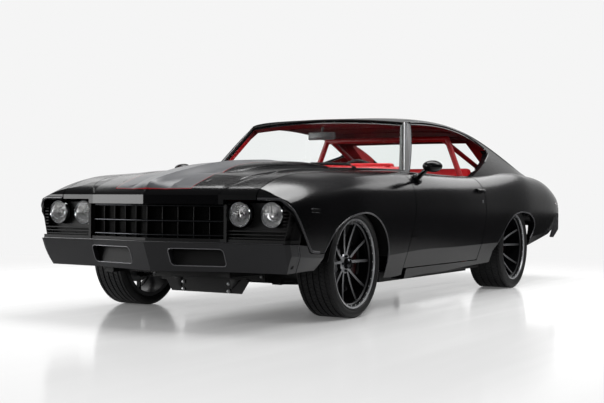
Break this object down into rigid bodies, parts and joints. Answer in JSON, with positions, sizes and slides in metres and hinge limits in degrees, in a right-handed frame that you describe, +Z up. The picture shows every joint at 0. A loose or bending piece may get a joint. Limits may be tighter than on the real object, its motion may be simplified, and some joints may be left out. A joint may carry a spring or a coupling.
{
  "type": "muscle car",
  "caption": "Two-door hardtop muscle car with a raised hood centre, quad round lamps, open side windows, wide low tyres, hinged doors, hood, boot lid and working steering.",
  "frame": {"origin": "on the floor under the middle of the car's length and width", "axes": "+X to the car's left, +Y to its rear, +Z up"},
  "size_m": [2.1652, 5.0429, 1.3318],
  "materials": {
    "paint": "satin black paint",
    "bumper_paint": "satin charcoal paint",
    "gloss_black": "gloss black plastic",
    "matte_black": "matte black plastic",
    "chassis": "satin chassis paint",
    "rim_metal": "satin dark alloy with a brushed lip",
    "tyre": "black rubber",
    "glass": "clear slightly tinted glass",
    "lamp_glass": "clear lamp glass",
    "red_lens": "red lens",
    "mirror_shell": "satin black paint",
    "red_leather": "dark red leather",
    "steel": "bare steel",
    "cast": "cast iron"
  },
  "bodies": {
    "body": {"body_shell": "paint", "floor_pan": "chassis", "frame": "chassis", "fender_left": "paint", "fender_right": "paint", "inner_fenders": "matte_black", "bumper_front": "bumper_paint", "nose_panel": "gloss_black", "grille": "gloss_black", "headlamps": "lamp_glass", "bumper_rear": "bumper_paint", "tail_lamps": "red_lens", "windscreen": "glass", "rear_window": "glass", "dashboard": "red_leather", "seat_left": "red_leather", "seat_right": "red_leather", "rear_seat": "red_leather", "roll_cage": "matte_black", "console": "matte_black", "rear_view_mirror": "matte_black", "engine": "cast", "radiator": "matte_black", "drive_shaft": "steel", "fuel_tank": "steel", "exhaust": "steel", "front_suspension": "chassis", "rear_axle": "chassis"},
    "door_left": {"door_left": "paint", "mirror_left": "mirror_shell"},
    "door_right": {"door_right": "paint", "mirror_right": "mirror_shell"},
    "hood": {"hood": "paint"},
    "boot_lid": {"boot_lid": "paint"},
    "steering_wheel": {"steering_wheel": "matte_black"},
    "knuckle_left": {"knuckle_left": "cast"},
    "knuckle_right": {"knuckle_right": "cast"},
    "wheel_front_left": {"tyre_front_left": "tyre", "rim_front_left": "rim_metal"},
    "wheel_front_right": {"tyre_front_right": "tyre", "rim_front_right": "rim_metal"},
    "wheel_rear_left": {"tyre_rear_left": "tyre", "rim_rear_left": "rim_metal"},
    "wheel_rear_right": {"tyre_rear_right": "tyre", "rim_rear_right": "rim_metal"}
  },
  "joints": [
    {"name": "door_left_hinge", "type": "hinge", "parent": "body", "child": "door_left", "pos_m": [0.936, -0.815, 0.6], "axis": [0, 0, -1], "range_deg": [0, 65]},
    {"name": "door_right_hinge", "type": "hinge", "parent": "body", "child": "door_right", "pos_m": [-0.936, -0.815, 0.6], "axis": [0, 0, 1], "range_deg": [0, 65]},
    {"name": "hood_hinge", "type": "hinge", "parent": "body", "child": "hood", "pos_m": [0, -0.873, 0.892], "axis": [-1, 0, 0], "range_deg": [0, 48]},
    {"name": "boot_lid_hinge", "type": "hinge", "parent": "body", "child": "boot_lid", "pos_m": [0, 1.815, 0.943], "axis": [1, 0, 0], "range_deg": [0, 60]},
    {"name": "steer_left", "type": "hinge", "parent": "body", "child": "knuckle_left", "pos_m": [0.745, -1.6, 0.328], "axis": [0, 0, 1], "range_deg": [-30, 30]},
    {"name": "steer_right", "type": "hinge", "parent": "body", "child": "knuckle_right", "pos_m": [-0.745, -1.6, 0.328], "axis": [0, 0, 1], "range_deg": [-30, 30]},
    {"name": "steering_wheel_turn", "type": "hinge", "parent": "body", "child": "steering_wheel", "pos_m": [0.352, -0.497, 0.826], "axis": [0, 0.9397, 0.342], "range_deg": [-420, 420]},
    {"name": "wheel_front_left_spin", "type": "hinge", "parent": "knuckle_left", "child": "wheel_front_left", "pos_m": [0.77, -1.6, 0.328], "axis": [1, 0, 0], "continuous": true},
    {"name": "wheel_front_right_spin", "type": "hinge", "parent": "knuckle_right", "child": "wheel_front_right", "pos_m": [-0.77, -1.6, 0.328], "axis": [1, 0, 0], "continuous": true},
    {"name": "wheel_rear_left_spin", "type": "hinge", "parent": "body", "child": "wheel_rear_left", "pos_m": [0.77, 1.245, 0.342], "axis": [1, 0, 0], "continuous": true},
    {"name": "wheel_rear_right_spin", "type": "hinge", "parent": "body", "child": "wheel_rear_right", "pos_m": [-0.77, 1.245, 0.342], "axis": [1, 0, 0], "continuous": true}
  ],
  "couplings": [
    {"joint": "steer_right", "follows": "steer_left", "ratio": 1},
    {"joint": "steering_wheel_turn", "follows": "steer_left", "ratio": 14}
  ]
}
